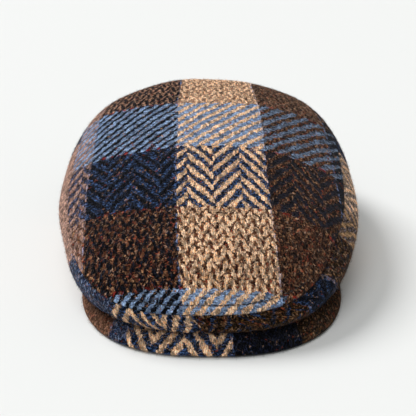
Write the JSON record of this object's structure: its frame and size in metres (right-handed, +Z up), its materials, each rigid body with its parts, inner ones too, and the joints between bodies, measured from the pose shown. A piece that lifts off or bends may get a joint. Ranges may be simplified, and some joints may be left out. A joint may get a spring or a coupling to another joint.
{
  "type": "flat cap",
  "caption": "Tweed flat cap with a large check: a smooth rounded crown folded over the front onto a short, stiff, cloth-covered peak.",
  "frame": {"origin": "on the surface the cap stands on, under the middle of its length and width", "axes": "+Z up, the peak points to -Y, the wearer's left is +X"},
  "size_m": [0.2159, 0.2862, 0.0957],
  "materials": {
    "tweed_top": "matte woven wool",
    "tweed_side": "matte woven wool",
    "tweed_peak": "matte woven wool"
  },
  "bodies": {
    "root": {"top_panel": "tweed_top", "side_panel_left": "tweed_side", "side_panel_right": "tweed_side", "peak": "tweed_peak"}
  },
  "joints": []
}
